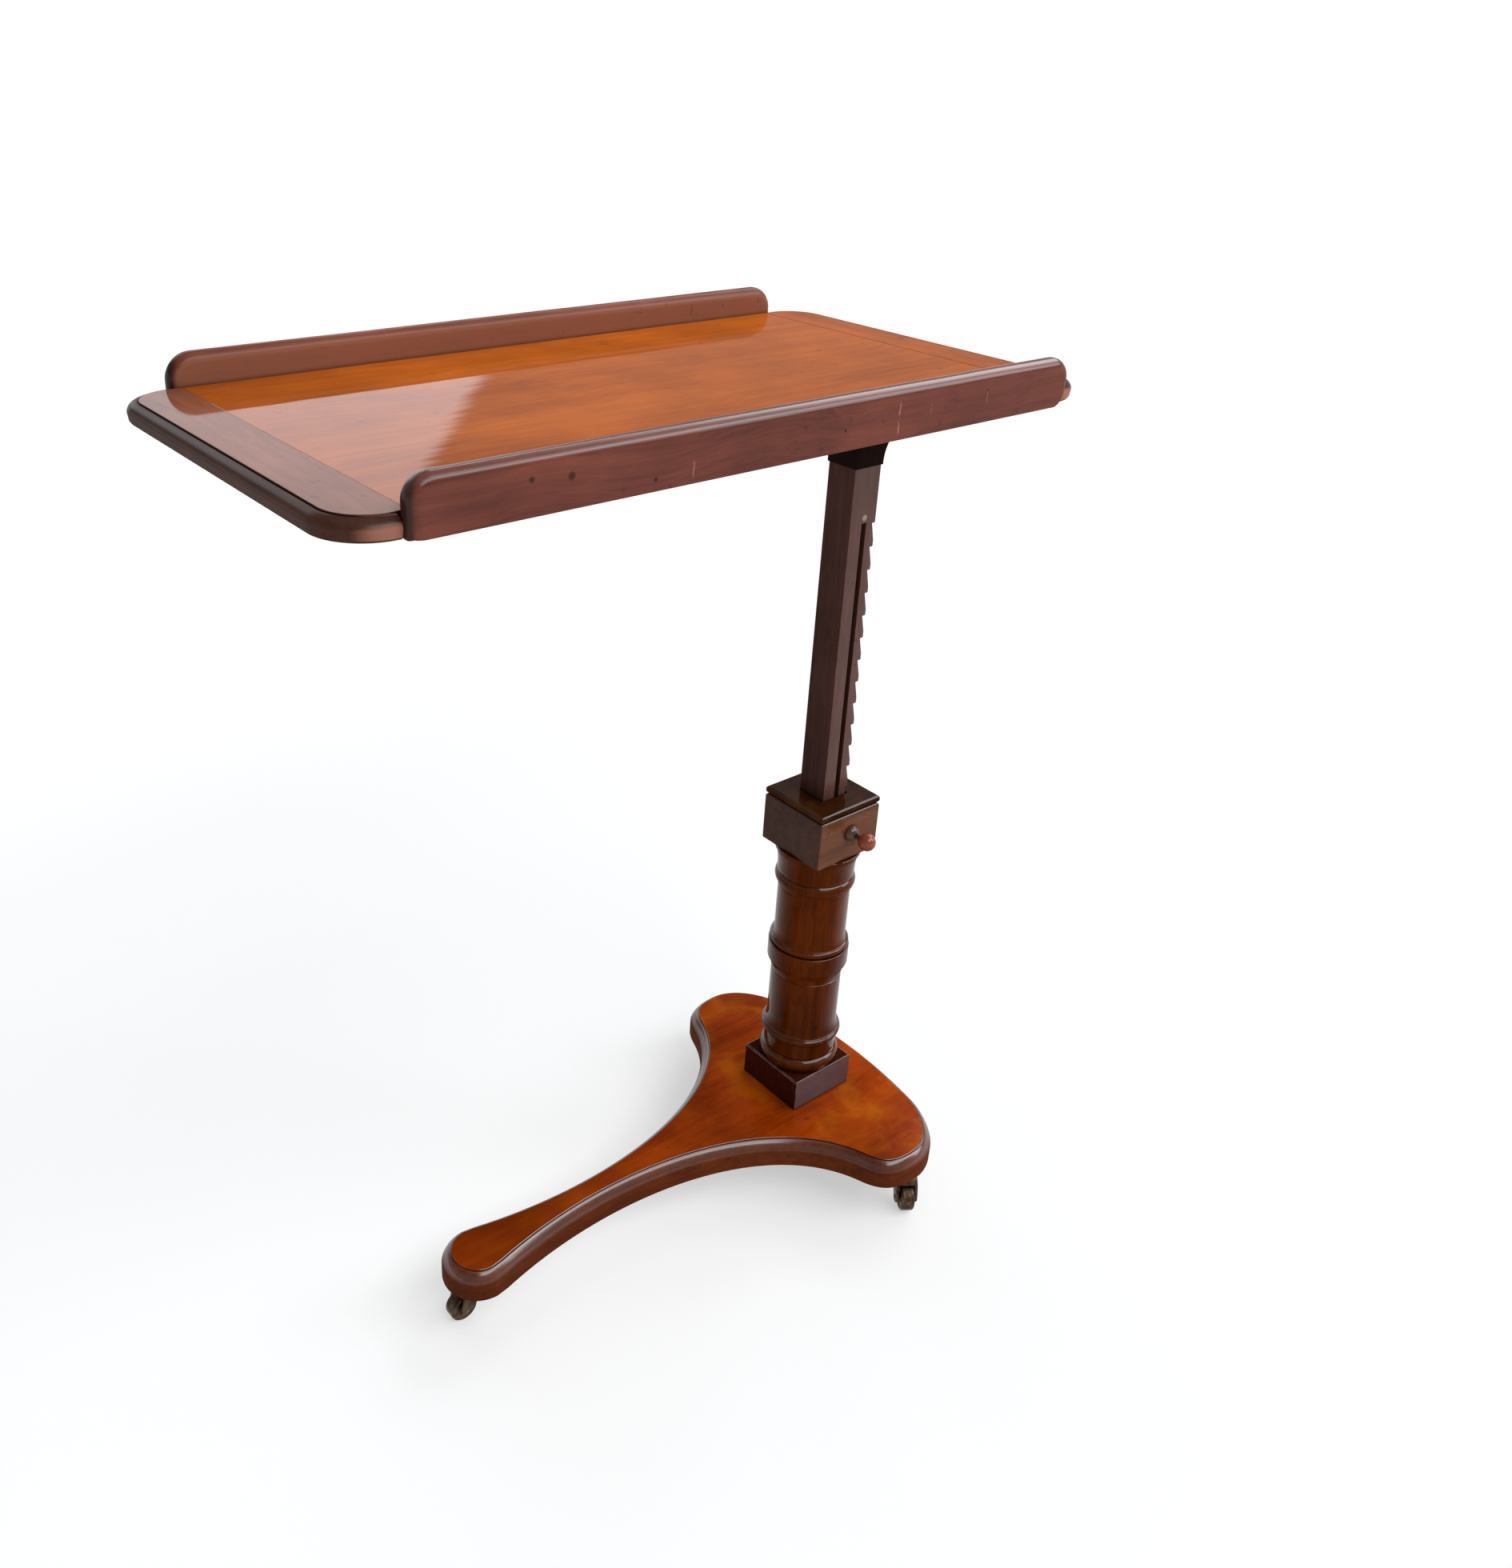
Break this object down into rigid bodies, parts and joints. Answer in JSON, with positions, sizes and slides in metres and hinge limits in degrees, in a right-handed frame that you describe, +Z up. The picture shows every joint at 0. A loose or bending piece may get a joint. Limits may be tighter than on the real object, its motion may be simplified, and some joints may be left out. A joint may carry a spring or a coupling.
{
  "type": "library table",
  "caption": "Height-adjustable library table with a ledged overhanging top, a rack post that slides in a turned column with a pull catch, and a three-lobed base on castors.",
  "frame": {"origin": "on the floor, under the middle of the table's bounding box at the height shown", "axes": "+Z up, +X along the board from its long overhang towards the column, +Y across the board away from the knob"},
  "size_m": [0.8016, 0.4226, 1.0391],
  "materials": {
    "board_wood": "gloss",
    "ledge_wood": "gloss",
    "dark_wood": "satin",
    "column_wood": "gloss",
    "base_wood": "satin",
    "knob_wood": "gloss",
    "dowel_wood": "matte",
    "iron": "satin",
    "bronze": "satin"
  },
  "bodies": {
    "stand": {"base_platform": "base_wood", "plinth": "dark_wood", "column": "column_wood", "collar_block": "dark_wood", "collar_cap": "dark_wood", "catch_boss": "dark_wood", "catch_spring": "iron", "base_screw_1": "iron", "base_screw_2": "iron", "base_screw_3": "iron", "base_screw_4": "iron", "foot_castor_plate": "bronze", "foot_castor_screw_1": "iron", "foot_castor_screw_2": "iron", "foot_castor_screw_3": "iron", "front_castor_plate": "bronze", "front_castor_screw_1": "iron", "front_castor_screw_2": "iron", "front_castor_screw_3": "iron", "back_castor_plate": "bronze", "back_castor_screw_1": "iron", "back_castor_screw_2": "iron", "back_castor_screw_3": "iron"},
    "top": {"top_panel": "board_wood", "left_cleat": "board_wood", "right_cleat": "board_wood", "front_ledge": "ledge_wood", "back_ledge": "ledge_wood", "front_ledge_dowel_1": "dowel_wood", "front_ledge_dowel_2": "dowel_wood", "front_ledge_dowel_3": "dowel_wood", "back_ledge_dowel_1": "dowel_wood", "back_ledge_dowel_2": "dowel_wood", "back_ledge_dowel_3": "dowel_wood", "top_bearer": "dark_wood", "bearer_screw_1": "iron", "bearer_screw_2": "iron", "bearer_screw_3": "iron", "bearer_screw_4": "iron", "post_capital": "dark_wood", "capital_screw_1": "iron", "capital_screw_2": "iron", "capital_screw_3": "iron", "capital_screw_4": "iron", "post_peg": "dark_wood", "post": "dark_wood"},
    "catch": {"catch_knob": "knob_wood", "catch_stem": "iron", "catch_plate": "iron"},
    "foot_castor": {"foot_castor_fork": "bronze", "foot_castor_axle": "iron"},
    "foot_wheel": {"foot_castor_wheel": "bronze"},
    "front_castor": {"front_castor_fork": "bronze", "front_castor_axle": "iron"},
    "front_wheel": {"front_castor_wheel": "bronze"},
    "back_castor": {"back_castor_fork": "bronze", "back_castor_axle": "iron"},
    "back_wheel": {"back_castor_wheel": "bronze"}
  },
  "joints": [
    {"name": "height_slide", "type": "slide", "parent": "stand", "child": "top", "axis": [0, 0, 1], "range_m": [-0.2926, 0.0266]},
    {"name": "catch_push", "type": "slide", "parent": "stand", "child": "catch", "axis": [0, 1, 0], "range_m": [0, 0.005]},
    {"name": "foot_castor_swivel", "type": "hinge", "parent": "stand", "child": "foot_castor", "pos_m": [-0.18575, 0, 0.04], "axis": [0, 0, 1], "continuous": true},
    {"name": "foot_wheel_spin", "type": "hinge", "parent": "foot_castor", "child": "foot_wheel", "pos_m": [-0.20575, 0, 0.016], "axis": [0, -1, 0], "continuous": true},
    {"name": "front_castor_swivel", "type": "hinge", "parent": "stand", "child": "front_castor", "pos_m": [0.32125, -0.166, 0.04], "axis": [0, 0, 1], "continuous": true},
    {"name": "front_wheel_spin", "type": "hinge", "parent": "front_castor", "child": "front_wheel", "pos_m": [0.31007, -0.18258, 0.016], "axis": [0.829, -0.5592, 0], "continuous": true},
    {"name": "back_castor_swivel", "type": "hinge", "parent": "stand", "child": "back_castor", "pos_m": [0.32125, 0.166, 0.04], "axis": [0, 0, 1], "continuous": true},
    {"name": "back_wheel_spin", "type": "hinge", "parent": "back_castor", "child": "back_wheel", "pos_m": [0.33125, 0.18332, 0.016], "axis": [-0.866, 0.5, 0], "continuous": true}
  ]
}
